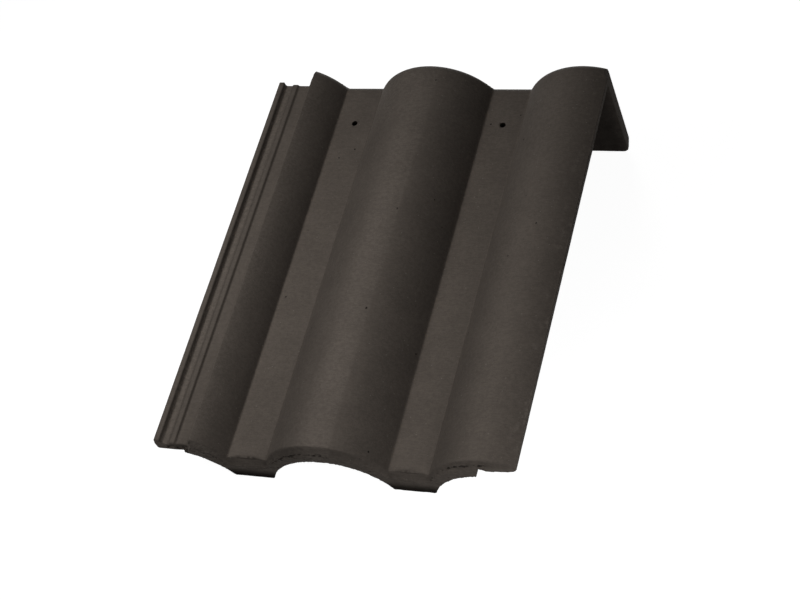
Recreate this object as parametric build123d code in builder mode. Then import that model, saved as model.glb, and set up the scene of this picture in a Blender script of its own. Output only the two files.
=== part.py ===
from build123d import *
import os
from math import atan2, degrees, sqrt

# Monopitch ridge tile: a double-roll interlocking roof tile, cast in one piece with a flange
# that turns down at right angles along its head, to cover the top edge of a lean-to roof.
# Millimetres. The tile is drawn lying flat: X across from the side lock, Y up the slope from
# the foot, Z up from the top face of the pans. At the end it is set down as it rests on a floor.

# Laid size
roll_pitch = 150.0
cover_width = 2 * roll_pitch
side_lap = 33.5
overall_width = cover_width + side_lap
overall_length = 418.0
wall = 12.0

# Pans and rolls
pan_width = 37.0
roll_height = 33.8
crown_to_edge = 25.7
valley_radius = 3.0
overlap_underside = 23.8
corner_radius = 4.0

# Side lock, which lies under the next tile's overlap
lock_front = 2.0
flange_clearance = 1.0
lock_thickness = 6.0
channel_floor = 15.0
outer_rib_width = 5.3
outer_rib_top = 20.4
channel_width = 6.4
inner_rib_width = 5.1
inner_rib_top = 17.0
rib_slope = 1.0
rib_rounding = 1.2
lock_wall_foot = 31.0
crest_x = 37.3

# Foot along the front edge
foot_left = 28.0
foot_drop = 24.4
foot_thickness = 16.0
foot_arch_radius = 60.0
foot_arch_crown = 13.2
foot_draft = 2.8
bevel_depth = 4.0
bevel_height = 9.0

# Flange along the head
flange_thickness = 12.0
flange_drop = 84.0
flange_inset = 3.5
flange_chamfer = 7.0
arris_radius = 8.0

# Batten nibs and nail holes, centred on the pans
nib_width = 28.0
nib_depth = 9.0
nib_drop = 12.0
nail_hole_diameter = 5.0
nail_hole_from_nib = 26.0

# Worked out from the sizes above
roll_width = roll_pitch - pan_width
roll_radius = ((roll_width / 2) ** 2 + roll_height**2) / (2 * roll_height)
roll_centre_z = roll_height - roll_radius
crowns = [overall_width - crown_to_edge - n * roll_pitch for n in (2, 1, 0)]
pan_centres = [crown + roll_pitch / 2 for crown in crowns[:2]]
under_radius = roll_radius - wall
under_half_width = sqrt(under_radius**2 - (wall + roll_centre_z) ** 2)
foot_centre_z = foot_arch_crown - foot_arch_radius
foot_half_width = sqrt(foot_arch_radius**2 - (foot_drop + foot_centre_z) ** 2)
foot_right = cover_width - foot_draft
flange_inner = overall_length - flange_thickness
flange_right = overall_width - flange_inset
nib_front = flange_inner - nib_depth
lock_end = flange_inner - flange_clearance
lock_underside = channel_floor - lock_thickness


def height_on(radius, centre_z, offset):
    """Height of a circle's top half at a distance across from its crown."""
    return centre_z + sqrt(radius**2 - offset**2)


def across(y):
    """Plane across the tile at y, with its X across and its Y upwards."""
    return Plane.XZ.offset(-y)


crest_z = height_on(roll_radius, roll_centre_z, crest_x - crowns[0])
edge_z = height_on(roll_radius, roll_centre_z, crown_to_edge)
inner_rib_left = outer_rib_width + rib_slope + channel_width + rib_slope
lock_top = [
    (0, outer_rib_top),
    (outer_rib_width, outer_rib_top),
    (outer_rib_width + rib_slope, channel_floor),
    (inner_rib_left - rib_slope, channel_floor),
    (inner_rib_left, inner_rib_top),
    (inner_rib_left + inner_rib_width, inner_rib_top),
    (inner_rib_left + inner_rib_width + rib_slope, channel_floor),
    (lock_wall_foot, channel_floor),
    (crest_x, crest_z),
]


def wave_arc(start_x, end_x, crown, radius, centre_z):
    """Arc over one roll between two distances across the tile."""
    middle_x = (start_x + end_x) / 2
    ThreePointArc(
        (start_x, height_on(radius, centre_z, start_x - crown)),
        (middle_x, height_on(radius, centre_z, middle_x - crown)),
        (end_x, height_on(radius, centre_z, end_x - crown)),
    )


def top_wave():
    """Top outline from the crest of the first roll to the right edge."""
    half = roll_width / 2
    wave_arc(crest_x, crowns[0] + half, crowns[0], roll_radius, roll_centre_z)
    Line((crowns[0] + half, 0), (crowns[1] - half, 0))
    wave_arc(crowns[1] - half, crowns[1] + half, crowns[1], roll_radius, roll_centre_z)
    Line((crowns[1] + half, 0), (crowns[2] - half, 0))
    wave_arc(crowns[2] - half, overall_width, crowns[2], roll_radius, roll_centre_z)


def round_ribs(section, start_x):
    """Rounds the upper corners of the ribs that lie right of a distance across the tile."""
    corners = section.vertices().filter_by_position(Axis.X, start_x, lock_wall_foot - 1)
    corners = corners.filter_by_position(Axis.Y, inner_rib_top - 0.1, outer_rib_top + 0.1)
    fillet(corners, rib_rounding)


def corner_waste(corner_x, corner_y, side_x, side_y, radius):
    """What is cut off a corner to round it; the sides, 1 or -1, say where the tile lies."""
    with Locations((corner_x + side_x * radius / 2, corner_y + side_y * radius / 2)):
        Rectangle(radius, radius)
    with Locations((corner_x + side_x * radius, corner_y + side_y * radius)):
        Circle(radius, mode=Mode.SUBTRACT)


def under_wave(start_x, end_x, depth, half, radius, centre_z):
    """Underside outline of the two pans and the arches between them, drawn leftwards."""
    wave_arc(end_x, crowns[2] - half, crowns[2], radius, centre_z)
    Line((crowns[2] - half, -depth), (crowns[1] + half, -depth))
    wave_arc(crowns[1] + half, crowns[1] - half, crowns[1], radius, centre_z)
    Line((crowns[1] - half, -depth), (crowns[0] + half, -depth))
    wave_arc(crowns[0] + half, start_x, crowns[0], radius, centre_z)


with BuildPart() as flat_tile:
    # Body: two pans, the right half of the first roll, the second roll and the overlap
    with BuildSketch(across(0)) as body_section:
        with BuildLine():
            top_wave()
            under_start_z = height_on(under_radius, roll_centre_z, crest_x - crowns[0])
            under_end_z = height_on(under_radius, roll_centre_z, cover_width - crowns[2])
            Polyline(
                (overall_width, edge_z),
                (overall_width, overlap_underside),
                (cover_width, overlap_underside),
                (cover_width, under_end_z),
            )
            under_wave(crest_x, cover_width, wall, under_half_width, under_radius, roll_centre_z)
            Line((crest_x, under_start_z), (crest_x, crest_z))
        make_face()
        valleys = body_section.vertices().filter_by_position(Axis.Y, -0.1, 0.1)
        hips = body_section.vertices().filter_by_position(Axis.Y, -wall - 0.1, -wall + 0.1)
        fillet(valleys, valley_radius)
        fillet(hips, valley_radius)
    extrude(amount=-overall_length)

    # Side lock: an outer rib, an inner rib and two water channels left of the first roll
    with BuildSketch(across(lock_front)) as lock_section:
        with BuildLine():
            Polyline(
                *lock_top,
                (crest_x, under_start_z),
                (lock_wall_foot + rib_slope, lock_underside),
                (0, lock_underside),
                close=True,
            )
        make_face()
        round_ribs(lock_section, -1)
        lowest = lock_section.vertices().sort_by(Axis.Y)[:2]
        fillet(lowest.sort_by(Axis.X)[0], corner_radius)
    extrude(amount=-(lock_end - lock_front))

    # Foot: a deep rib across the front, arched under the rolls
    with BuildSketch(across(0)) as foot_section:
        with BuildLine():
            top_wave()
            arch_end_z = height_on(foot_arch_radius, foot_centre_z, foot_right - crowns[2])
            arch_start_z = height_on(foot_arch_radius, foot_centre_z, foot_left - crowns[0])
            Polyline(
                (overall_width, edge_z),
                (overall_width, overlap_underside),
                (cover_width, overlap_underside),
                (foot_right, arch_end_z),
            )
            under_wave(
                foot_left, foot_right, foot_drop, foot_half_width, foot_arch_radius, foot_centre_z
            )
            Polyline(
                (foot_left, arch_start_z),
                (foot_left, channel_floor),
                (lock_wall_foot, channel_floor),
                (crest_x, crest_z),
            )
        make_face()
        fillet(foot_section.vertices().filter_by_position(Axis.Y, -0.1, 0.1), valley_radius)
        fillet(foot_section.vertices().group_by(Axis.Y)[0], valley_radius)
    extrude(amount=-foot_thickness)

    # Flange: a plate that hangs from the head, its top following the rolls and pans
    with BuildSketch(across(flange_inner)) as flange_section:
        with BuildLine():
            top_wave()
            Polyline(
                (overall_width, edge_z),
                (overall_width, -flange_drop),
                (crest_x, -flange_drop),
                (crest_x, crest_z),
            )
        make_face()
        fillet(flange_section.vertices().filter_by_position(Axis.Y, -0.1, 0.1), valley_radius)
    extrude(amount=-flange_thickness)

    # Rounded arris where the top of the tile turns down into the flange
    outer_face = flat_tile.faces().sort_by(Axis.Y)[-1]
    head_edges = outer_face.edges().filter_by(lambda edge: edge.bounding_box().min.Z > -1)
    fillet(head_edges, arris_radius)

    # Bevel along the front edge, parallel to the rolls, pans and ribs
    above = 3 * roll_height
    with BuildSketch(across(bevel_depth)) as bevel_section:
        with BuildLine():
            top_wave()
            Polyline(
                (overall_width, edge_z),
                (overall_width + wall, edge_z),
                (overall_width + wall, above),
                (-wall, above),
                (-wall, outer_rib_top),
                *lock_top,
            )
        make_face()
        fillet(bevel_section.vertices().filter_by_position(Axis.Y, -0.1, 0.1), valley_radius)
        round_ribs(bevel_section, outer_rib_width / 2)
    bevel_length = 1.5 * sqrt(bevel_depth**2 + bevel_height**2)
    extrude(amount=bevel_length, dir=(0, -bevel_depth, -bevel_height), mode=Mode.SUBTRACT)

    # Chamfer along the outer bottom edge of the flange
    with BuildSketch(Plane.YZ) as chamfer_section:
        with BuildLine():
            Polyline(
                (overall_length, -flange_drop + flange_chamfer),
                (overall_length, -flange_drop),
                (overall_length - flange_chamfer, -flange_drop),
                close=True,
            )
        make_face()
    extrude(amount=overall_width, mode=Mode.SUBTRACT)

    # The flange is narrower than the overlap, and three corners are rounded in plan
    with BuildSketch(Plane.XY.offset(above)):
        with Locations((flange_right, flange_inner)):
            Rectangle(2 * flange_inset, 2 * flange_thickness, align=(Align.MIN, Align.MIN))
        corner_waste(overall_width, 0, -1, 1, corner_radius)
        corner_waste(overall_width, flange_inner, -1, -1, flange_inset)
        corner_waste(0, lock_front, 1, 1, corner_radius)
    extrude(amount=-(above + flange_drop), mode=Mode.SUBTRACT)

    # Both bottom corners of the flange are rounded too
    with BuildSketch(across(flange_inner)):
        corner_waste(crest_x, -flange_drop, 1, 1, corner_radius)
        corner_waste(flange_right, -flange_drop, -1, 1, corner_radius)
    extrude(amount=-flange_thickness, mode=Mode.SUBTRACT)

    # Nibs that hook over the batten, in the corner between the pans and the flange
    for centre in pan_centres:
        with BuildSketch(Plane.XY.offset(-wall - nib_drop)):
            with Locations((centre, nib_front)):
                Rectangle(nib_width, nib_depth, align=(Align.CENTER, Align.MIN))
        extrude(amount=nib_drop)

    # Nail holes through the pans, over the middle of the batten
    with BuildSketch(Plane.XY):
        with Locations(*[(centre, nib_front - nail_hole_from_nib) for centre in pan_centres]):
            Circle(nail_hole_diameter / 2)
    extrude(amount=-wall, mode=Mode.SUBTRACT)

# The tile stands on the front of its foot and the inner bottom edge of its flange
rest_angle = degrees(atan2(flange_drop - foot_drop, flange_inner))
with BuildPart() as tilted_tile:
    add(flat_tile.part, rotation=(rest_angle, 0, 0))

box = tilted_tile.part.bounding_box()
with BuildPart() as monopitch_ridge_tile:
    with Locations((-box.center().X, -box.center().Y, -box.min.Z)):
        add(tilted_tile.part)

monopitch_ridge_tile.part.label = "monopitch_ridge_tile"

os.makedirs("parts", exist_ok=True)
export_step(monopitch_ridge_tile.part, "parts/monopitch_ridge_tile.step")
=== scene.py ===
import math
from itertools import product

import bpy
import numpy as np
from bpy.props import FloatProperty, FloatVectorProperty, IntProperty, PointerProperty
from mathutils import Euler, Matrix, Vector


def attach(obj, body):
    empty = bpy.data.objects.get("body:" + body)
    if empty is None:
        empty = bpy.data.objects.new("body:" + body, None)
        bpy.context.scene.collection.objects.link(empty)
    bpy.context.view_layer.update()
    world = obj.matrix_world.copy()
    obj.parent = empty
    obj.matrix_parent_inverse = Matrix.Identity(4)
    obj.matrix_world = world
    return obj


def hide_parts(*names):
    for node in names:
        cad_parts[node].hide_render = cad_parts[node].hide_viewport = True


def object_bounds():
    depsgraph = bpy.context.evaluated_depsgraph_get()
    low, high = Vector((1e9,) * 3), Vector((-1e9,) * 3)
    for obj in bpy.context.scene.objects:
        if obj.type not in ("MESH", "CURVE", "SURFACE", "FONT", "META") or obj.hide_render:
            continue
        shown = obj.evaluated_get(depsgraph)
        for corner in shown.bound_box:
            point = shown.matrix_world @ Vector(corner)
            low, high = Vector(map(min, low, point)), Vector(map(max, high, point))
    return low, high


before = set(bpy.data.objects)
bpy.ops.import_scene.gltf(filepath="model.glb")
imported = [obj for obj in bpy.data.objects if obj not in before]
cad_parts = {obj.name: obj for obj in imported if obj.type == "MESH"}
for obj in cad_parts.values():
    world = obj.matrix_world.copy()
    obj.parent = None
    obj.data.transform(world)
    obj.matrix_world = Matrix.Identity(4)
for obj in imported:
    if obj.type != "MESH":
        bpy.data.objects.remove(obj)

bl_info = {
    "name": "Monopitch ridge tile",
    "version": (1, 0, 0),
    "blender": (4, 5, 0),
    "location": "View3D > Sidebar > Ridge tile",
    "description": "Casts a concrete monopitch ridge tile with its worn edges and grainy coating",
    "category": "Object",
}

# The tile's node and its body in the frame
TILE_NODE = "monopitch_ridge_tile"
TILE_BODY = "root"

# The frame's own box, from which the default width comes
FRAME_LOW, FRAME_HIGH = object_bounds()
FRAME_WIDTH = FRAME_HIGH.x - FRAME_LOW.x
MM = 0.001

# How deep one shell is sunk into the next, so that the remesh joins them
SUNK = 2 * MM

# Points along the shells' outlines, their corners, the head's arris and a nail hole
BODY_POINTS = 340
UNDERSIDE_POINTS = 200
EDGE_POINTS = 300
LOCK_UNDER_POINTS = 120
CORNER_POINTS = 6
ARRIS_POINTS = 9
HOLE_POINTS = 24

# Lumps in the cast and worn surface: their size, their step from the seed, and their layers
LUMPS = {
    "waves": (45 * MM, 0, 2),
    "grain": (3 * MM, 10, 2),
    "wear": (9 * MM, 20, 3),
    "bits": (4.2 * MM, 30, 3),
    "clouds": (22 * MM, 50, 3),
    "chips": (4 * MM, 60, 2),
    "mottle": (5 * MM, 70, 3),
}

# Torn stretches of the crease along the front edge, in mm from the left edge
TORN_STRETCHES = ((6, 62), (104, 168), (262, 312))

# Large primes that turn a corner of a lattice and a seed into a random whole number
CORNER_PRIMES = (73856093, 19349663, 83492791)
SEED_PRIME = 2654435761
MIXING_PRIME = 1274126177
LARGEST_DRAW = 0xFFFFFF

# Half the width of the floor, in metres
FLOOR_HALF = 6.0


def length(name, description, millimetres):
    """A size that the user can set, with its default in millimetres."""
    return FloatProperty(
        name=name,
        description=description,
        default=millimetres * MM,
        min=0,
        precision=4,
        unit="LENGTH",
        subtype="DISTANCE",
    )


def number(name, description, value, most=1000.0):
    """A plain number that the user can set."""
    return FloatProperty(name=name, description=description, default=value, min=0, max=most)


def colour(name, description, value):
    """A linear colour that the user can set."""
    return FloatVectorProperty(
        name=name, description=description, default=value, size=3, min=0, max=1, subtype="COLOR"
    )


class TileSizes(bpy.types.PropertyGroup):
    """The tile's sizes, lying flat: X across, Y up the slope, Z up from the pans."""

    overall_width: length("Overall width", "Side lock to right edge", FRAME_WIDTH / MM)
    overall_length: length("Overall length", "Foot to the outer face of the flange", 418)
    cover_width: length("Cover width", "Width of the roof that the tile covers", 300)
    wall: length("Wall", "Thickness of the pans and rolls", 12)
    roll_pitch: length("Roll pitch", "Distance from one roll to the next", 150)
    pan_width: length("Pan width", "Flat width between two rolls", 37)
    roll_height: length("Roll height", "Height of the rolls over the pans", 33.8)
    crown_to_edge: length("Crown to edge", "Last roll's crown to the right edge", 25.7)
    valley_blend: length("Valley blend", "Softness of the corner where a roll meets a pan", 1.6)
    overlap_underside: length("Overlap underside", "Height of the underside of the overlap", 23.8)
    corner_radius: length("Corner radius", "Rounding of the corners in plan", 4)
    lock_front: length("Lock front", "Foot to the front end of the side lock", 2)
    lock_corner: length("Lock corner", "Rounding of the side lock's front corner", 2.4)
    lock_end: length("Lock end", "Foot to the upper end of the side lock", 405)
    lock_thickness: length("Lock thickness", "Thickness under the water channels", 6)
    channel_floor: length("Channel floor", "Height of the water channels", 15)
    channel_width: length("Channel width", "Width of the outer water channel", 6.4)
    outer_rib_width: length("Outer rib width", "Width of the outer rib's top", 5.3)
    outer_rib_top: length("Outer rib top", "Height of the outer rib", 20.4)
    inner_rib_width: length("Inner rib width", "Width of the inner rib's top", 5.1)
    inner_rib_top: length("Inner rib top", "Height of the inner rib", 17)
    rib_slope: length("Rib slope", "Width of each rib's sloping side", 1)
    lock_wall_foot: length("Lock wall foot", "Left edge to the foot of the first roll", 31)
    crest: length("Crest", "Left edge to the crest of the first roll", 37.3)
    foot_left: length("Foot left", "Left edge to the left end of the foot", 28)
    foot_drop: length("Foot drop", "Depth of the foot under the top of the pans", 24.4)
    foot_thickness: length("Foot thickness", "Thickness of the foot", 16)
    foot_arch_radius: length("Foot arch radius", "Radius of the arches under the rolls", 60)
    foot_arch_crown: length("Foot arch crown", "Height of the arches' tops", 13.2)
    foot_draft: length("Foot draft", "Lean of the foot's right end", 2.8)
    bevel_depth: length("Bevel depth", "Length of the bevel along the front edge", 4)
    bevel_height: length("Bevel height", "Height of the bevel along the front edge", 9)
    flange_thickness: length("Flange thickness", "Thickness of the flange", 12)
    flange_drop: length("Flange drop", "Depth of the flange under the top of the pans", 84)
    flange_inset: length("Flange inset", "Overlap's edge to the flange's right end", 3.5)
    flange_chamfer: length("Flange chamfer", "Chamfer along the flange's outer bottom edge", 7)
    arris_radius: length("Arris radius", "Rounding where the top turns into the flange", 8)
    nib_width: length("Nib width", "Width of each batten nib", 28)
    nib_depth: length("Nib depth", "Flange to the front face of the nibs", 9)
    nib_drop: length("Nib drop", "Depth of each nib under the pans", 12)
    nail_hole_diameter: length("Nail hole", "Diameter of the nail holes", 5)
    nail_hole_from_nib: length("Nail hole from nib", "Nib's front face to the nail holes", 26)


class TileRelief(bpy.types.PropertyGroup):
    """How rough, uneven and worn the cast surface is."""

    voxel: length("Voxel", "Finest detail of the cast mesh", 0.9)
    unevenness: length("Unevenness", "Depth of the slow waves of the surface", 0.2)
    grain: length("Grain", "Depth of the fine grain of the surface", 0.06)
    edge_wear: length("Edge wear", "Depth of the wear along the arrises", 0.22)
    crumble: length("Crumble", "Depth of the broken skin along the front bevel", 1.5)
    triangles: IntProperty(
        name="Triangles",
        description="Most triangles of the finished tile",
        default=190000,
        min=1000,
    )
    seed: IntProperty(name="Seed", description="Start of every random draw", default=7, min=0)


class ConcreteFinish(bpy.types.PropertyGroup):
    """Colours, grain and sheen of the coated concrete."""

    coating: colour("Coating", "Main colour of the coating", (0.0700, 0.0590, 0.0502))
    coating_dark: colour("Coating, dark", "Darker grains and clouds", (0.0500, 0.0423, 0.0364))
    # Also the colour of painted light on the front face, the lock's channel, the first roll's
    # crest and the inner faces near the flange's end
    rubbed_and_painted_light: colour("Rubbed", "Where the coating is rubbed thin", (0.110, 0.094, 0.081))
    speck: colour("Speck", "Light grains that show through", (0.100, 0.089, 0.077))
    # Painted shade: the near-black colour of pits, torn cracks, nail holes, the foot's lower edge
    # and the faces under the tile
    painted_shade_colour: colour("Pit", "Inside of the small pits", (0.010, 0.0085, 0.0075))
    cloud_strength: number("Clouds", "How much the slow clouds change the tone", 0.10, 1)
    speck_share: number("Speck share", "Share of the grains that show light", 0.06, 1)
    pit_share: number("Pit share", "Share of the larger cells that hold a pit", 0.10, 1)
    bump_strength: number("Bump strength", "Strength of the grain in the light", 0.35, 1)
    bump_height: length("Bump height", "Height of the grain that only the light shows", 0.4)
    roughness: number("Roughness", "Roughness of the coating", 0.74, 1)
    coat_ior: number("Coat IOR", "Refraction of the coating, which gives its sheen", 1.142)


class StudioSettings(bpy.types.PropertyGroup):
    """Camera, lamps and floor."""

    camera_place: FloatVectorProperty(
        name="Camera place",
        description="Where the camera stands",
        default=(0.61102, -1.00158, 1.17664),
        size=3,
        subtype="TRANSLATION",
    )
    camera_turn: FloatVectorProperty(
        name="Camera turn",
        description="The camera's rotation",
        default=(math.radians(43.2165), math.radians(14.4992), math.radians(16.8659)),
        size=3,
        subtype="EULER",
    )
    focal_length: FloatProperty(
        name="Focal length", description="Lens in mm on a 36 mm sensor", default=81.15, min=1
    )
    floor_colour: colour("Floor", "Colour of the floor in the lamps' light", (0.27, 0.27, 0.27))
    floor_glow: number("Floor glow", "White of the floor in its own shadows", 0.955)
    key_power: number("Key power", "Power of the lamp on the left, in watts", 1.1)
    sheen_power: number("Sheen power", "Power of the lamp for the coating's sheen, in watts", 62)
    side_power: number("Side power", "Power of the low lamp on the right, in watts", 0.72)
    front_power: number("Front power", "Power of the lamp in front, in watts", 1.15)
    back_power: number("Back power", "Power of the low lamp behind, in watts", 3.6)
    sky_strength: number("Sky strength", "Strength of the even light all round", 0.02)


def rise(value, start, end):
    """0 up to the start and 1 from the end on, evenly between them; the end may come first."""
    return np.clip((value - start) / (end - start), 0, 1)


def soft_max(first, second, blend):
    """The larger of two heights, with a rounded corner where they cross."""
    share = np.clip(0.5 + 0.5 * (first - second) / blend, 0, 1)
    return second + (first - second) * share + blend * share * (1 - share)


class TileShape:
    """Heights and outlines of the tile lying flat, in metres."""

    def __init__(self, sizes):
        self.s = sizes
        half_roll = (sizes.roll_pitch - sizes.pan_width) / 2
        self.roll_radius = (half_roll**2 + sizes.roll_height**2) / (2 * sizes.roll_height)
        self.roll_centre = sizes.roll_height - self.roll_radius
        last_crown = sizes.overall_width - sizes.crown_to_edge
        self.flange_inner = sizes.overall_length - sizes.flange_thickness
        self.flange_right = sizes.overall_width - sizes.flange_inset
        self.nib_front = self.flange_inner - sizes.nib_depth
        self.nail_hole_place = self.nib_front - sizes.nail_hole_from_nib
        self.crowns = [last_crown - count * sizes.roll_pitch for count in (2, 1, 0)]
        self.pan_centres = [crown + sizes.roll_pitch / 2 for crown in self.crowns[:2]]
        self.crest_height = float(self.roll_top(np.array([sizes.crest]))[0])
        self.rest_angle = math.atan2(sizes.flange_drop - sizes.foot_drop, self.flange_inner)

    def waves(self, x, radius, centre, floor):
        """Arches of one radius over the crowns, rising from a flat floor."""
        arches = [
            centre + np.sqrt(np.maximum(radius**2 - (x - crown) ** 2, 0)) for crown in self.crowns
        ]
        return soft_max(np.maximum.reduce(arches), floor, self.s.valley_blend)

    def roll_top(self, x, inset=0.0):
        """Top of the pans and rolls, sunk into the surface by the inset."""
        return self.waves(x, self.roll_radius - inset, self.roll_centre, -inset)

    def underside(self, x):
        """Underside of the pans and rolls."""
        wall = self.s.wall
        return self.waves(x, self.roll_radius - wall, self.roll_centre, -wall)

    def foot_underside(self, x):
        """Bottom of the foot, arched under the rolls."""
        centre = self.s.foot_arch_crown - self.s.foot_arch_radius
        return self.waves(x, self.s.foot_arch_radius, centre, -self.s.foot_drop)

    def lock_top(self, x):
        """Height of the top of the side lock, from the left edge to the first roll's crest."""
        s = self.s
        first = s.outer_rib_width + s.rib_slope
        second = first + s.channel_width
        third = second + 2 * s.rib_slope + s.inner_rib_width
        corners = [
            (0, s.outer_rib_top),
            (s.outer_rib_width, s.outer_rib_top),
            (first, s.channel_floor),
            (second, s.channel_floor),
            (second + s.rib_slope, s.inner_rib_top),
            (third - s.rib_slope, s.inner_rib_top),
            (third, s.channel_floor),
            (s.lock_wall_foot, s.channel_floor),
            (s.crest, self.crest_height),
        ]
        across, height = zip(*corners)
        return np.interp(x, across, height)

    def bevel_drop(self, y):
        """How far the front bevel lies below the top at a distance from the front."""
        return self.s.bevel_height * max(0.0, 1 - y / self.s.bevel_depth)

    def corner_inset(self, distance, radius=None):
        """How far a rounded corner stands back from a side, at a distance from its other side."""
        radius = radius or self.s.corner_radius
        reach = np.clip(radius - distance, 0, radius)
        return radius - np.sqrt(radius**2 - reach**2)


class Shells:
    """Closed shells that overlap where they join; a voxel remesh makes them one skin."""

    def __init__(self):
        self.points = []
        self.faces = []

    def loft(self, sections):
        """Adds the shell through sections of (y, x values, heights), with flat ends."""
        start = len(self.points)
        for y, across, heights in sections:
            self.points.extend((x, y, z) for x, z in zip(across, heights))
        self.close(start, len(sections[0][1]), len(sections))

    def close(self, start, count, rows):
        """Adds the side faces and both ends of a tube whose points lie in rows from the start."""
        for row, point in product(range(rows - 1), range(count)):
            here = start + row * count
            following = (point + 1) % count
            self.faces.append(
                (here + point, here + following, here + count + following, here + count + point)
            )
        last = start + (rows - 1) * count
        self.faces.append(tuple(reversed(range(start, start + count))))
        self.faces.append(tuple(range(last, last + count)))

    def mesh(self, name):
        """The shells as one Blender mesh."""
        made = bpy.data.meshes.new(name)
        made.from_pydata(self.points, [], self.faces)
        made.validate()
        return made


def outline(top_x, top_z, bottom_x, bottom_z):
    """A closed outline: the top from left to right, then the bottom from right to left."""
    return np.concatenate([top_x, bottom_x[::-1]]), np.concatenate([top_z, bottom_z[::-1]])


def body_shell(shape):
    """Pans, rolls and overlap, with the bevel along the front."""
    s = shape.s
    corner = np.linspace(0, s.corner_radius, CORNER_POINTS)
    shells = Shells()
    rows = []
    for y in (*corner, *(shape.flange_inner - corner[::-1]), shape.flange_inner + SUNK):
        edge = s.overall_width - float(shape.corner_inset(min(y, shape.flange_inner - y)))
        x = np.linspace(s.crest, edge, BODY_POINTS)
        body_x = np.linspace(s.crest, s.cover_width, UNDERSIDE_POINTS)
        under_x = np.concatenate([body_x, [s.cover_width, edge]])
        under_z = np.concatenate([shape.underside(body_x), [s.overlap_underside] * 2])
        bevelled = shape.roll_top(x) - shape.bevel_drop(y)
        over_lap = np.maximum(bevelled, s.overlap_underside)
        top_z = np.where(x < s.cover_width, bevelled, over_lap)
        rows.append((y, *outline(x, top_z, under_x, under_z)))
    shells.loft(rows)
    return shells


def add_lock(shells, shape):
    """Side lock, its right side sunk into the first roll."""
    s = shape.s
    sunk = 2 * SUNK
    under_crest = float(shape.underside(np.array([s.crest]))[0])
    lock_bottom = s.channel_floor - s.lock_thickness
    corner = np.linspace(0, s.lock_corner, CORNER_POINTS)
    rows = []
    for y in (*(s.lock_front + corner), s.lock_end):
        left = float(shape.corner_inset(y - s.lock_front, s.lock_corner))
        x = np.linspace(left, s.crest, EDGE_POINTS)
        top_z = shape.lock_top(x) - shape.bevel_drop(y)
        under_x = np.linspace(left, s.lock_wall_foot + s.rib_slope, LOCK_UNDER_POINTS)
        under_z = lock_bottom + shape.corner_inset(under_x)
        x = np.append(x, s.crest + sunk)
        top_z = np.append(top_z, shape.crest_height - 2 * sunk - shape.bevel_drop(y))
        under_x = np.append(under_x, [s.crest, s.crest + sunk])
        under_z = np.append(under_z, [under_crest, under_crest + sunk])
        rows.append((y, *outline(x, top_z, under_x, under_z)))
    shells.loft(rows)


def add_foot(shells, shape):
    """Foot, its top sunk into the body and its right end leaning."""
    s = shape.s
    x = np.linspace(s.foot_left, s.cover_width, EDGE_POINTS)
    top = np.where(x > s.crest, shape.roll_top(x) - SUNK, shape.lock_top(x))
    arch_x = np.linspace(s.foot_left, s.cover_width - s.foot_draft, EDGE_POINTS)
    bottom_x = np.append(arch_x, s.cover_width)
    bottom = np.append(shape.foot_underside(arch_x), s.overlap_underside)
    rows = []
    for y in (0, s.bevel_depth, s.foot_thickness):
        top_z = np.maximum(top - shape.bevel_drop(y), np.interp(x, bottom_x, bottom))
        rows.append((y, *outline(x, top_z, bottom_x, bottom)))
    shells.loft(rows)


def add_flange(shells, shape):
    """Flange, with the rounded arris along its top and the chamfer along its bottom."""
    s = shape.s
    x = np.linspace(s.crest, shape.flange_right, BODY_POINTS)
    rounded = shape.corner_inset(np.minimum(x - s.crest, shape.flange_right - x))
    rows = []
    turns = np.linspace(0, math.pi / 2, ARRIS_POINTS)
    for y in (shape.flange_inner, *(s.overall_length - s.arris_radius * (1 - np.sin(turns)))):
        inward = max(0.0, y - (s.overall_length - s.arris_radius))
        inset = s.arris_radius - math.sqrt(s.arris_radius**2 - inward**2)
        raised = max(0.0, y - (s.overall_length - s.flange_chamfer))
        bottom = -s.flange_drop + np.maximum(rounded, raised)
        rows.append((y, *outline(x, shape.roll_top(x, inset), x, bottom)))
    shells.loft(rows)


def add_nibs(shells, shape):
    """Batten nibs, sunk into the pans and the flange."""
    s = shape.s
    sunk = SUNK / 2
    for centre in shape.pan_centres:
        sides = np.array([centre - s.nib_width / 2, centre + s.nib_width / 2])
        across, heights = outline(
            sides, np.full(2, -s.wall + sunk), sides, np.full(2, -s.wall - s.nib_drop)
        )
        shells.loft([(y, across, heights) for y in (shape.nib_front, shape.flange_inner + sunk)])


def applied(mesh, modifiers):
    """The mesh with modifiers applied, given as (type, settings)."""
    holder = bpy.data.objects.new("holder", mesh)
    bpy.context.scene.collection.objects.link(holder)
    for kind, settings in modifiers:
        modifier = holder.modifiers.new(kind, kind)
        for name, value in settings.items():
            setattr(modifier, name, value)
    evaluated = holder.evaluated_get(bpy.context.evaluated_depsgraph_get())
    made = bpy.data.meshes.new_from_object(evaluated)
    bpy.data.objects.remove(holder)
    return made


def drilled(mesh, shape):
    """The body's mesh with the nail holes cut through its pans."""
    s = shape.s
    drill = Shells()
    radius = s.nail_hole_diameter / 2
    count = HOLE_POINTS
    turns = np.linspace(0, 2 * math.pi, count, endpoint=False)
    for centre in shape.pan_centres:
        start = len(drill.points)
        for height, turn in product((-2 * s.wall, s.wall), turns):
            x = centre + radius * math.cos(turn)
            y = shape.nail_hole_place + radius * math.sin(turn)
            drill.points.append((x, y, height))
        drill.close(start, count, rows=2)
    cutter = bpy.data.objects.new("drill", drill.mesh("drill"))
    bpy.context.scene.collection.objects.link(cutter)
    made = applied(
        mesh, [("BOOLEAN", {"operation": "DIFFERENCE", "object": cutter, "solver": "EXACT"})]
    )
    bpy.data.objects.remove(cutter)
    return made


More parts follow.
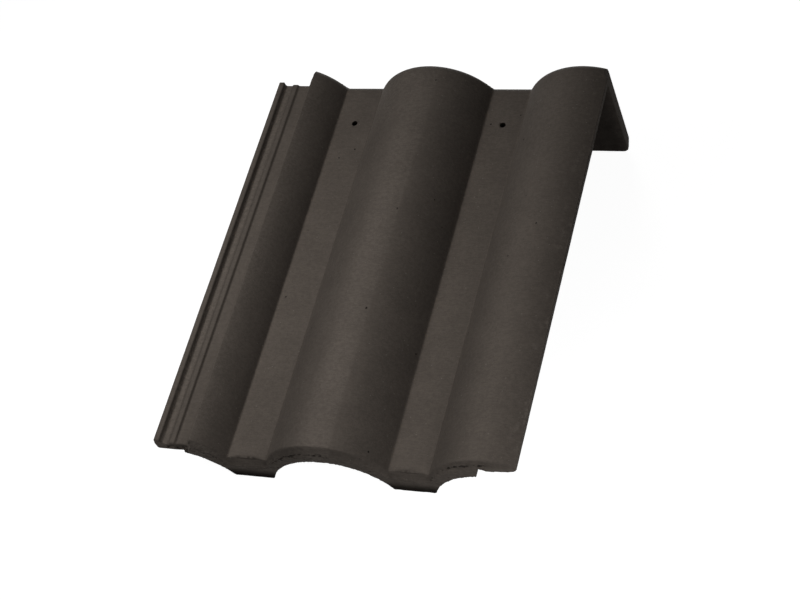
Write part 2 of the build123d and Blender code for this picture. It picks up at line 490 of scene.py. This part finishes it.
def lattice_noise(points, size, seed):
    """Smooth random value from 0 to 1 at each point, with lumps of about the given size."""
    scaled = points / size
    cell = np.floor(scaled).astype(np.int64)
    part = scaled - cell
    part = part * part * (3 - 2 * part)
    total = np.zeros(len(points))
    for corner in product((0, 1), repeat=3):
        key = (cell + corner) @ np.array(CORNER_PRIMES) + seed * SEED_PRIME
        key = (key ^ (key >> 13)) * MIXING_PRIME
        key = (key ^ (key >> 16)) & LARGEST_DRAW
        weight = np.prod(np.where(corner, part, 1 - part), axis=1)
        total += weight * key / LARGEST_DRAW
    return total


def layered_noise(points, size, seed, layers):
    """Lattice noise with finer layers over it, from 0 to 1."""
    total = np.zeros(len(points))
    strength = 0.0
    for layer in range(layers):
        share = 0.5**layer
        total += share * lattice_noise(points, size * share, seed + layer)
        strength += share
    return total / strength


def lumps(points, kind, seed):
    """One of the named kinds of lumps, from 0 to 1."""
    size, step, layers = LUMPS[kind]
    return layered_noise(points, size, seed + step, layers)


def read_points(mesh, field="co"):
    """A mesh's points or vertex normals as an array."""
    values = np.zeros(len(mesh.vertices) * 3, np.float32)
    mesh.vertices.foreach_get(field, values)
    return values.reshape(-1, 3).astype(float)


def write_points(mesh, points):
    """Moves a mesh's points."""
    mesh.vertices.foreach_set("co", points.astype(np.float32).ravel())
    mesh.update()


def neighbour_mean(values, edges, counts):
    """Mean of a value over each vertex's neighbours."""
    total = np.zeros_like(values)
    np.add.at(total, edges[:, 0], values[edges[:, 1]])
    np.add.at(total, edges[:, 1], values[edges[:, 0]])
    return total / counts.reshape(-1, *[1] * (values.ndim - 1))


def convexity(mesh, points, normals, rounds=2):
    """How far each vertex stands out from its neighbours, spread over a few rings."""
    edges = np.zeros(len(mesh.edges) * 2, np.int32)
    mesh.edges.foreach_get("vertices", edges)
    edges = edges.reshape(-1, 2)
    counts = np.maximum(np.bincount(edges.ravel(), minlength=len(points)), 1)
    smooth = points
    for _ in range(rounds):
        smooth = neighbour_mean(smooth, edges, counts)
    stand = np.einsum("ij,ij->i", points - smooth, normals)
    return neighbour_mean(stand, edges, counts)


def settle(points, normals, shape):
    """Moves the skin onto the exact top, edges and end faces, which makes its corners crisp."""
    s = shape.s
    reach = 1.2 * MM
    least_facing = 0.5
    x, y, z = points.T.copy()
    body = y < shape.flange_inner - s.corner_radius
    over = (x > s.crest) & (y > s.bevel_depth + reach) & (y < s.overall_length - s.arris_radius)
    plain_end = z < shape.roll_top(x) - s.arris_radius
    plain_end &= z > -s.flange_drop + s.flange_chamfer
    faces = [
        (2, 1, shape.roll_top(x), over),
        (0, 1, s.overall_width, body & (y > s.corner_radius)),
        (0, 1, shape.flange_right, y > shape.flange_inner + reach),
        (1, -1, 0.0, z < shape.crest_height - s.bevel_height),
        (1, 1, s.overall_length, plain_end),
        (2, -1, s.overlap_underside, body & (x > s.cover_width)),
        (2, -1, shape.foot_underside(x), (y < s.foot_thickness) & (x < s.cover_width)),
    ]
    for axis, facing, exact, where in faces:
        near = where & (facing * normals[:, axis] > least_facing)
        near &= np.abs(points[:, axis] - exact) < reach
        points[near, axis] = np.broadcast_to(exact, len(points))[near]


def relief(points, stand, shape, rough):
    """How far each point sinks under the clean surface, in metres."""
    s = shape.s
    x, y, z = points.T
    depth = rough.unevenness * lumps(points, "waves", rough.seed)
    depth += rough.grain * lumps(points, "grain", rough.seed)

    # Wear along the arrises: a little everywhere, and more in patches
    full_wear_stand = 0.35 * MM
    patches = np.clip(lumps(points, "wear", rough.seed) - 0.35, 0, 1)
    depth += rough.edge_wear * rise(stand, 0, full_wear_stand) * (0.25 + 1.1 * patches)

    # Broken skin along the front bevel, worst along its lower crease
    bevel_share = 0.15
    torn = rise(lumps(points * (0.5, 1, 1), "bits", rough.seed), 0.48, 0.68)
    near_front = rise(y, s.bevel_depth + 3 * MM, 0)
    depth += rough.crumble * torn * (bevel_share * near_front + front_crease(points, shape))

    # Broken lip under the overlap's front, away from its outer corner
    lip_share = 0.7
    lip = (x > s.cover_width) & (x < s.overall_width - 10 * MM)
    lip &= (y < 8 * MM) & (z < s.overlap_underside + 1.5 * MM)
    depth += lip_share * rough.crumble * torn * lip

    # The lock's front edge is broken, most of all beside the foot
    even_break = 0.5 * MM
    torn_share = 0.7
    broken = even_break + torn_share * rough.crumble * torn
    depth += lock_break(points, shape) * broken

    # The front arris of each pan is ground off in a shallow arc
    arc_height = 4.5 * MM
    slope = 0.38
    for centre in shape.pan_centres:
        arc = arc_height * np.clip(1 - ((x - centre) / (0.5 * s.pan_width)) ** 2, 0, 1)
        ground = np.clip(s.bevel_depth + arc - np.maximum(y, s.bevel_depth), 0, None)
        depth += slope * ground * rise(z, -5 * MM, 0) * (z < 1 * MM)
    return depth


def front_crease(points, shape):
    """How near each point is to the torn stretches of the crease under the front bevel."""
    s = shape.s
    x, y, z = points.T
    spread = 2.2 * MM
    fade = 6 * MM
    elsewhere = 0.35
    on_lock = x < s.crest
    on_last_roll = x > shape.pan_centres[1] + s.pan_width / 2
    top = np.where(on_lock, shape.lock_top(x), shape.roll_top(x))

    # The crease runs along the bevel's foot, and higher on the lock and the last roll
    below = np.where(on_lock, 0.4, np.where(on_last_roll, 0.55, 1.0)) * s.bevel_height
    crease = np.exp(-(((top - z - below) / spread) ** 2)) * (y < s.bevel_depth)
    stretches = np.full(len(points), elsewhere)
    for start, end in TORN_STRETCHES:
        inside = rise(np.minimum(x - start * MM, end * MM - x), 0, fade)
        stretches = np.maximum(stretches, inside)
    return crease * stretches


def lock_break(points, shape):
    """How near each point is to the broken upper edge along the front of the side lock."""
    s = shape.s
    x, y, z = points.T
    across = rise(x, 0, 26 * MM) ** 1.5 * rise(x, s.crest, s.crest - 8 * MM)
    under_top = rise(shape.lock_top(x) - z, 6.4 * MM, 2.4 * MM)
    return across * under_top * rise(y, 7.2 * MM, 3.2 * MM)


def inner_faces(points, shape):
    """Which points lie under the tile, and how near each is to the flange's right end."""
    s = shape.s
    x, y, z = points.T
    slack = 1 * MM
    under = np.where(x > s.cover_width, s.overlap_underside, shape.underside(x))
    inner = (y > s.foot_thickness) & (y < shape.flange_inner + slack) & (x > s.crest)
    return inner & (z < under + slack), rise(x, shape.flange_right - 9 * MM, shape.flange_right)


def front_face(y):
    """1 on the front face, fading out behind it."""
    return rise(y, 3 * MM, 0)


def torn_marks(points, shape):
    """Where the skin is torn: on the front bevel and on the lock's front edge."""
    s = shape.s
    _, y, z = points.T
    bevel_share = 0.75
    on_bevel = rise(y, s.bevel_depth + 1 * MM, 0) * (z > -s.bevel_height)
    torn = np.maximum(front_crease(points, shape), bevel_share * on_bevel)
    return np.maximum(torn, lock_break(points, shape))


def painted_shade_marks(points, shape, seed):
    """Painted shade on the foot's lower edge, in the nail holes and on the faces under the tile.
    """
    s = shape.s
    x, y, z = points.T
    # Painted shadow: the front face darker towards the floor under the foot
    painted_shade = front_face(y) * rise(z, -11 * MM, -20 * MM) ** 0.8
    # Painted shade in the nail holes and just round them
    for centre in shape.pan_centres:
        away = np.hypot(x - centre, y - shape.nail_hole_place)
        painted_shade = np.maximum(painted_shade, away < s.nail_hole_diameter / 2 + 0.3 * MM)
    # Painted shade on the faces under the tile, mottled, easing towards the flange's end
    inner, near_end = inner_faces(points, shape)
    mottle = 0.3 + 0.4 * lumps(points, "mottle", seed)
    return np.maximum(painted_shade, mottle * (1 - 0.4 * near_end) * inner)


def wear_and_painted_light_marks(points, shape, seed):
    """Paler: wear, raw end faces and chips, and painted light at the front and on the lock."""
    s = shape.s
    x, y, z = points.T

    # A band over the second roll, and its left flank near the head
    clouds = lumps(points * (1, 0.3, 1), "clouds", seed)
    across = x - shape.crowns[1]
    roll_foot = -(s.roll_pitch - s.pan_width) / 2
    band = rise(across, -22 * MM, -10 * MM) * rise(across, 14 * MM, 12 * MM)
    head = rise(y, 345 * MM, 375 * MM) * rise(across, roll_foot, roll_foot + 4 * MM)
    head *= across < 0
    on_roll = np.maximum(band * (0.2 + 0.6 * clouds), head * (0.3 + 0.6 * clouds)) * (z > 0)
    on_roll *= rise(y, s.overall_length - 2 * MM, s.overall_length - 8 * MM)

    # Painted light on the front face and the left end of its bevel; the raw right edge and the
    # flange's end
    left_end = rise(x, s.crest + 26 * MM, s.crest + 10 * MM) * (y < s.bevel_depth - 0.3 * MM)
    right_edge = rise(x, s.overall_width - 0.6 * MM, s.overall_width)
    flange_end = (y > shape.flange_inner - 1 * MM) & (x > shape.flange_right - 0.6 * MM)
    inner, near_end = inner_faces(points, shape)

    # The lock's outer lip; painted light in the outer channel's shadow and a painted highlight on
    # the crest
    lip = rise(x, 1.92 * MM, 0.72 * MM)
    channel_end = s.outer_rib_width + 2 * s.rib_slope + s.channel_width
    channel = (x > s.outer_rib_width) & (x < channel_end) & (z < s.channel_floor + 2 * MM)
    crest = rise(x, s.crest + 14 * MM, s.crest) * (x > s.crest - 1 * MM)
    on_lock = (z > s.channel_floor - 2 * MM) & (y < s.lock_end)

    # Chips near the right edge
    near_edge = rise(x, s.overall_width - 14 * MM, s.overall_width)
    chips = near_edge * rise(lumps(points, "chips", seed), 0.66, 0.71)

    # How much paler each place is, for wear and for painted light
    places = [
        (1.0, on_roll),
        # Painted light: the front face and the left end of its bevel
        (0.35, front_face(y)),
        (0.9, left_end),
        (1.0, right_edge),
        (1.0, flange_end),
        # Painted light and light specks on the inner faces near the flange's end, where their
        # shade eases
        (0.8, near_end * inner),
        (1.0, lip * on_lock),
        # Painted light in the channel, and a painted highlight on the crest
        (1.0, channel * on_lock),
        (0.35, crest * on_lock),
        (1.0, chips),
    ]
    return np.maximum.reduce([strength * place for strength, place in places])


def surface_marks(points, shape, seed):
    """Where the skin is torn, where shade is painted, and where it is paler from wear and painted
    light, from 0 to 1.
    """
    return {
        "torn": torn_marks(points, shape),
        "painted_shade": painted_shade_marks(points, shape, seed),
        "rubbed_and_painted_light": wear_and_painted_light_marks(points, shape, seed),
    }


def joined_shells(shape):
    """The drilled body and the other shells in one mesh."""
    body = drilled(body_shell(shape).mesh("body"), shape)
    shells = Shells()
    for add in (add_lock, add_foot, add_flange, add_nibs):
        add(shells, shape)
    start = len(shells.points)
    shells.points.extend(tuple(vertex.co) for vertex in body.vertices)
    shells.faces.extend(tuple(start + n for n in face.vertices) for face in body.polygons)
    return shells.mesh("shells")


def worn_skin(shape, rough):
    """One skin over the shells, with exact faces and then the worn relief, always inwards."""
    remesh = ("REMESH", {"mode": "VOXEL", "voxel_size": rough.voxel, "adaptivity": 0})
    skin = applied(joined_shells(shape), [remesh])
    points = read_points(skin)
    settle(points, read_points(skin, "normal"), shape)
    write_points(skin, points)
    normals = read_points(skin, "normal")
    stand = convexity(skin, points, normals)
    points -= normals * relief(points, stand, shape, rough)[:, None]
    write_points(skin, points)
    return skin


def thinned(skin, most):
    """The skin with fewer triangles where it is even."""
    skin.calc_loop_triangles()
    share = min(1.0, most / len(skin.loop_triangles))
    return applied(skin, [("DECIMATE", {"ratio": share, "use_collapse_triangulate": True})])


class RIDGETILE_OT_tile(bpy.types.Operator):
    """Cast the ridge tile with its worn edges and stand it as the frame does"""

    bl_idname = "ridgetile.tile"
    bl_label = "Ridge tile"

    def execute(self, context):
        scene = context.scene
        rough = scene.tile_relief
        shape = TileShape(scene.tile_sizes)

        tile_mesh = thinned(worn_skin(shape, rough), rough.triangles)
        tile_mesh.name = "ridge_tile"
        for mark, values in surface_marks(read_points(tile_mesh), shape, rough.seed).items():
            attribute = tile_mesh.attributes.new(mark, "FLOAT", "POINT")
            attribute.data.foreach_set("value", values.astype(np.float32))
        tile_mesh.transform(rest_place(shape))
        stand_in_frame(tile_mesh)
        tile_mesh.shade_smooth()
        tile_mesh.materials.clear()
        tile_mesh.materials.append(concrete_material(scene.concrete_finish))

        tile = bpy.data.objects.new("ridge_tile", tile_mesh)
        scene.collection.objects.link(tile)
        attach(tile, TILE_BODY)
        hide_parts(TILE_NODE)
        return {"FINISHED"}


def stand_in_frame(mesh):
    """Stretches the lowest edges down to the floor and keeps every point in the frame's box."""
    points = read_points(mesh)
    height = points[:, 2]
    gap = height.min()
    stretched = 6 * MM
    points[:, 2] -= gap * rise(height - gap, stretched, 0)
    write_points(mesh, np.clip(points, np.array(FRAME_LOW), np.array(FRAME_HIGH)))


def rest_place(shape):
    """The move from the flat tile to its place in the frame, resting on the floor."""
    s = shape.s
    lean = shape.rest_angle
    front = -(s.roll_height - s.bevel_height) * math.sin(lean)
    back = s.overall_length * math.cos(lean) + (s.flange_drop - s.flange_chamfer) * math.sin(lean)
    shift = Vector((-s.overall_width / 2, -(front + back) / 2, s.foot_drop * math.cos(lean)))
    return Matrix.Translation(shift) @ Matrix.Rotation(lean, 4, "X")


class Nodes:
    """Short calls for adding and joining shader nodes in one tree."""

    def __init__(self, tree):
        self.tree = tree

    def add(self, kind, inputs=None, **settings):
        """A new node; inputs are values or (node, output) pairs by socket name or number."""
        node = self.tree.nodes.new(kind)
        for name, value in settings.items():
            setattr(node, name, value)
        for socket, value in (inputs or {}).items():
            if isinstance(value, tuple) and isinstance(value[0], bpy.types.Node):
                self.tree.links.new(value[0].outputs[value[1]], node.inputs[socket])
            else:
                node.inputs[socket].default_value = value
        return node

    def maths(self, operation, first, second):
        """A Math node's value."""
        return self.add("ShaderNodeMath", {0: first, 1: second}, operation=operation), 0

    def ramp(self, value, low, high, to_low=0.0, to_high=1.0):
        """A value taken from one range to another, with smooth ends."""
        inputs = {"Value": value, "From Min": low, "From Max": high}
        inputs.update({"To Min": to_low, "To Max": to_high})
        node = self.add("ShaderNodeMapRange", inputs, interpolation_type="SMOOTHSTEP")
        return node, "Result"

    def noise(self, vector, scale, detail, roughness=0.6):
        """A noise texture with lumps of about one metre over the scale."""
        inputs = {"Vector": vector, "Scale": scale, "Detail": detail, "Roughness": roughness}
        return self.add("ShaderNodeTexNoise", inputs)

    def scaled(self, vector, factors):
        """A vector times a factor along each axis."""
        node = self.add("ShaderNodeVectorMath", {0: vector, 1: factors}, operation="MULTIPLY")
        return node, 0

    def mark(self, name):
        """A mark that the mesh carries at each point."""
        return self.add("ShaderNodeAttribute", attribute_name=name), "Fac"

    def blend(self, share, first, second):
        """A mix of two colours."""
        inputs = {"Factor": share, 6: first, 7: second}
        return self.add("ShaderNodeMix", inputs, data_type="RGBA"), 2


def group_tree(name, inputs, outputs):
    """A shader node group with float and vector sockets, and its input and output nodes."""
    tree = bpy.data.node_groups.new(name, "ShaderNodeTree")
    for socket, kind, default in inputs:
        made = tree.interface.new_socket(socket, in_out="INPUT", socket_type=kind)
        if default is not None:
            made.default_value = default
    for socket, kind in outputs:
        tree.interface.new_socket(socket, in_out="OUTPUT", socket_type=kind)
    return tree, tree.nodes.new("NodeGroupInput"), tree.nodes.new("NodeGroupOutput")


def sand_group():
    """Sand in the coating: its height and tone, light specks and small ragged pits."""
    tree, given, out = group_tree(
        "Sand and pits",
        [
            ("Vector", "NodeSocketVector", None),
            ("Speck share", "NodeSocketFloat", 0.2),
            ("Pit share", "NodeSocketFloat", 0.2),
        ],
        [
            ("Grain", "NodeSocketFloat"),
            ("Tone", "NodeSocketFloat"),
            ("Specks", "NodeSocketFloat"),
            ("Pits", "NodeSocketFloat"),
            ("Cracks", "NodeSocketFloat"),
        ],
    )
    nodes = Nodes(tree)
    vector = (given, "Vector")
    fine = nodes.noise(vector, scale=900.0, detail=3.0)
    coarse = nodes.noise(vector, scale=300.0, detail=2.0)
    grain = nodes.maths("ADD", (fine, 0), (coarse, 0))

    # Tone: grains and fine lines drawn across the tile
    lines = nodes.noise(nodes.scaled(vector, (0.25, 1.0, 1.0)), scale=700.0, detail=2.0)
    tone = nodes.maths("MULTIPLY", nodes.maths("ADD", grain, (lines, 0)), 1 / 3)

    # Specks: small dots in some of the cells
    cells = nodes.add("ShaderNodeTexVoronoi", {"Vector": vector, "Scale": 330.0})
    dot = nodes.ramp((cells, "Distance"), 0.10, 0.24, 1.0, 0.0)
    red = nodes.add("ShaderNodeSeparateColor", {"Color": (cells, "Color")})
    chosen = nodes.maths("LESS_THAN", (red, "Red"), (given, "Speck share"))
    specks = nodes.maths("MULTIPLY", dot, chosen)

    # Pits: larger and rarer, in cells that the coarse noise shakes
    shake = nodes.scaled((coarse, "Color"), (0.002, 0.002, 0.002))
    shaken = nodes.add("ShaderNodeVectorMath", {0: vector, 1: shake}, operation="ADD")
    holes = nodes.add("ShaderNodeTexVoronoi", {"Vector": (shaken, 0), "Scale": 95.0})
    hollow = nodes.ramp((holes, "Distance"), 0.04, 0.11, 1.0, 0.0)
    green = nodes.add("ShaderNodeSeparateColor", {"Color": (holes, "Color")})
    picked = nodes.maths("LESS_THAN", (green, "Green"), (given, "Pit share"))
    pits = nodes.maths("MULTIPLY", hollow, picked)

    # Cracks: lumps drawn out across the tile, cut off by the material
    drawn = nodes.scaled(vector, (0.5, 1.0, 1.0))
    cracks = nodes.noise(drawn, scale=330.0, detail=4.0, roughness=0.7), 0

    results = {"Grain": grain, "Tone": tone, "Specks": specks, "Pits": pits, "Cracks": cracks}
    for name, (node, output) in results.items():
        tree.links.new(node.outputs[output], out.inputs[name])
    return tree


def rgba(colour_value):
    """A colour with full alpha, as the shader sockets take it."""
    return (*colour_value, 1.0)


def concrete_material(finish):
    """Matte brown-grey coated concrete with sand, clouds and pits."""
    material = bpy.data.materials.new("Coated concrete")
    material.use_nodes = True
    tree = material.node_tree
    tree.nodes.clear()
    nodes = Nodes(tree)
    place = nodes.add("ShaderNodeTexCoord")
    vector = (place, "Object")
    given = {"Vector": vector, "Speck share": finish.speck_share, "Pit share": finish.pit_share}
    sand = nodes.add("ShaderNodeGroup", given, node_tree=sand_group())

    # Coating: two tones in grains and slow clouds, with light specks
    cloud = nodes.ramp((nodes.noise(vector, scale=30.0, detail=5.0), 0), 0.3, 0.7)
    cloud = nodes.maths("MULTIPLY", cloud, finish.cloud_strength)
    share = nodes.ramp(nodes.maths("ADD", cloud, (sand, "Tone")), 0.36, 0.76)
    base = nodes.blend(share, rgba(finish.coating_dark), rgba(finish.coating))
    speckled = nodes.blend((sand, "Specks"), base, rgba(finish.speck))

    # Painted shade: near black in pits, in cracks where the skin is torn, and at the painted
    # shade marks
    cracks = nodes.maths("MULTIPLY", nodes.mark("torn"), (sand, "Cracks"))
    cracks = nodes.ramp(cracks, 0.38, 0.54, 0.0, 0.8)
    dark = nodes.maths("MAXIMUM", (sand, "Pits"), cracks)
    dark = nodes.maths("MAXIMUM", dark, nodes.maths("MULTIPLY", nodes.mark("painted_shade"), 0.95))

    # Paler in the grain's streaks, where the coating is worn thin and where light is painted
    streaks = nodes.ramp((sand, "Tone"), 0.40, 0.62, 0.40, 1.0)
    pale = nodes.maths("MULTIPLY", nodes.mark("rubbed_and_painted_light"), streaks)
    worn = nodes.blend(pale, speckled, rgba(finish.rubbed_and_painted_light))
    with_painted_shade = nodes.blend(dark, worn, rgba(finish.painted_shade_colour))

    # Sheen and grain: the sheen fades with the tone and in dark places
    clean = nodes.maths("SUBTRACT", 1.0, dark)
    sheen = nodes.maths("MULTIPLY", clean, nodes.ramp(share, 0, 1, 0.82, 1))
    sunk_pits = nodes.maths("MULTIPLY", (sand, "Pits"), 2.5)
    grain = nodes.maths("SUBTRACT", (sand, "Grain"), sunk_pits)
    bump = nodes.add(
        "ShaderNodeBump",
        {"Strength": finish.bump_strength, "Distance": finish.bump_height, "Height": grain},
    )
    shader = nodes.add(
        "ShaderNodeBsdfPrincipled",
        {"Base Color": with_painted_shade, "Roughness": 1.0, "Normal": (bump, 0), "Coat Weight": sheen},
    )
    shader.inputs["Specular IOR Level"].default_value = 0.0
    shader.inputs["Coat Roughness"].default_value = finish.roughness
    shader.inputs["Coat IOR"].default_value = finish.coat_ior
    nodes.add("ShaderNodeOutputMaterial", {"Surface": (shader, 0)})
    return material


class RIDGETILE_OT_stage(bpy.types.Operator):
    """Lay the pale floor and set up the soft lamps and the camera"""

    bl_idname = "ridgetile.stage"
    bl_label = "Studio"

    def execute(self, context):
        scene = context.scene
        studio = scene.studio_settings
        self.lay_floor(scene, studio)
        self.hang_lamps(scene, studio)
        self.light_sky(scene, studio)

        camera_data = bpy.data.cameras.new("camera")
        camera_data.lens = studio.focal_length
        camera = bpy.data.objects.new("camera", camera_data)
        camera.location = studio.camera_place
        camera.rotation_euler = Euler(studio.camera_turn)
        scene.collection.objects.link(camera)
        scene.camera = camera
        scene.view_settings.view_transform = "Standard"
        return {"FINISHED"}

    def lay_floor(self, scene, studio):
        """A large pale floor that looks white to the camera but keeps the shadow."""
        half = FLOOR_HALF
        mesh = bpy.data.meshes.new("floor")
        corners = [(-half, -half, 0), (half, -half, 0), (half, half, 0), (-half, half, 0)]
        mesh.from_pydata(corners, [], [(0, 1, 2, 3)])
        material = bpy.data.materials.new("Pale floor")
        material.use_nodes = True
        material.node_tree.nodes.clear()
        nodes = Nodes(material.node_tree)
        paint = nodes.add(
            "ShaderNodeBsdfDiffuse", {"Color": rgba(studio.floor_colour), "Roughness": 0.0}
        )
        white = nodes.maths("MULTIPLY", seen_rays(nodes), studio.floor_glow)
        glow = nodes.add("ShaderNodeEmission", {"Strength": white})
        mixed = nodes.add("ShaderNodeAddShader", {0: (paint, 0), 1: (glow, 0)})
        nodes.add("ShaderNodeOutputMaterial", {"Surface": (mixed, 0)})
        mesh.materials.append(material)
        floor = bpy.data.objects.new("floor", mesh)
        scene.collection.objects.link(floor)

    def hang_lamps(self, scene, studio):
        """A key on the left, low lamps around the tile, and one for the coating's sheen."""
        white = (1.0, 1.0, 1.0)
        warm = (1.0, 0.85, 0.725)
        lamps = [
            ("key", (-0.39, -0.134, 0.546), 0.30, studio.key_power, white),
            ("sheen", (-0.293, 0.035, 0.717), 0.20, studio.sheen_power, warm),
            ("side", (0.327, -0.408, 0.20), 0.20, studio.side_power, white),
            ("front", (0.05, -0.95, 0.35), 0.30, studio.front_power, white),
            ("back", (-0.15, 0.95, 0.16), 0.30, studio.back_power, white),
        ]
        for name, place, size, power, tint in lamps:
            data = bpy.data.lights.new(name, "AREA")
            data.shape = "DISK"
            data.size = size
            data.energy = power
            data.color = tint
            lamp = bpy.data.objects.new(name, data)
            lamp.location = place
            lamp.rotation_euler = (-lamp.location).to_track_quat("-Z", "Y").to_euler()
            lamp.visible_camera = False
            lamp.visible_diffuse = name != "sheen"
            scene.collection.objects.link(lamp)

    def light_sky(self, scene, studio):
        """Even light all round, and white where the camera sees past the floor."""
        world = bpy.data.worlds.new("studio")
        scene.world = world
        world.use_nodes = True
        world.node_tree.nodes.clear()
        nodes = Nodes(world.node_tree)
        strength = nodes.ramp(seen_rays(nodes), 0.0, 1.0, studio.sky_strength, 1.0)
        sky = nodes.add("ShaderNodeBackground", {"Color": (1, 1, 1, 1), "Strength": strength})
        nodes.add("ShaderNodeOutputWorld", {"Surface": (sky, 0)})


def seen_rays(nodes):
    """1 for rays of the camera, a mirror or glass, and 0 for rays that only carry light."""
    path = nodes.add("ShaderNodeLightPath")
    mirrored = nodes.maths("MAXIMUM", (path, "Is Camera Ray"), (path, "Is Glossy Ray"))
    return nodes.maths("MAXIMUM", mirrored, (path, "Is Transmission Ray"))


class RIDGETILE_PT_panel(bpy.types.Panel):
    """The tile's sizes, finish and steps"""

    bl_idname = "RIDGETILE_PT_panel"
    bl_label = "Ridge tile"
    bl_space_type = "VIEW_3D"
    bl_region_type = "UI"
    bl_category = "Ridge tile"

    def draw(self, context):
        layout = self.layout
        scene = context.scene
        for title, group in (
            ("Sizes", scene.tile_sizes),
            ("Relief", scene.tile_relief),
            ("Finish", scene.concrete_finish),
            ("Studio", scene.studio_settings),
        ):
            box = layout.box()
            box.label(text=title)
            for name in group.__annotations__:
                box.prop(group, name)
        layout.operator(RIDGETILE_OT_tile.bl_idname)
        layout.operator(RIDGETILE_OT_stage.bl_idname)


GROUPS = {
    "tile_sizes": TileSizes,
    "tile_relief": TileRelief,
    "concrete_finish": ConcreteFinish,
    "studio_settings": StudioSettings,
}
CLASSES = (*GROUPS.values(), RIDGETILE_OT_tile, RIDGETILE_OT_stage, RIDGETILE_PT_panel)


def register():
    for item in CLASSES:
        bpy.utils.register_class(item)
    for name, group in GROUPS.items():
        setattr(bpy.types.Scene, name, PointerProperty(type=group))


def unregister():
    for name in GROUPS:
        delattr(bpy.types.Scene, name)
    for item in reversed(CLASSES):
        bpy.utils.unregister_class(item)


def main():
    register()
    bpy.ops.ridgetile.tile()
    bpy.ops.ridgetile.stage()


if __name__ == "__main__":
    main()
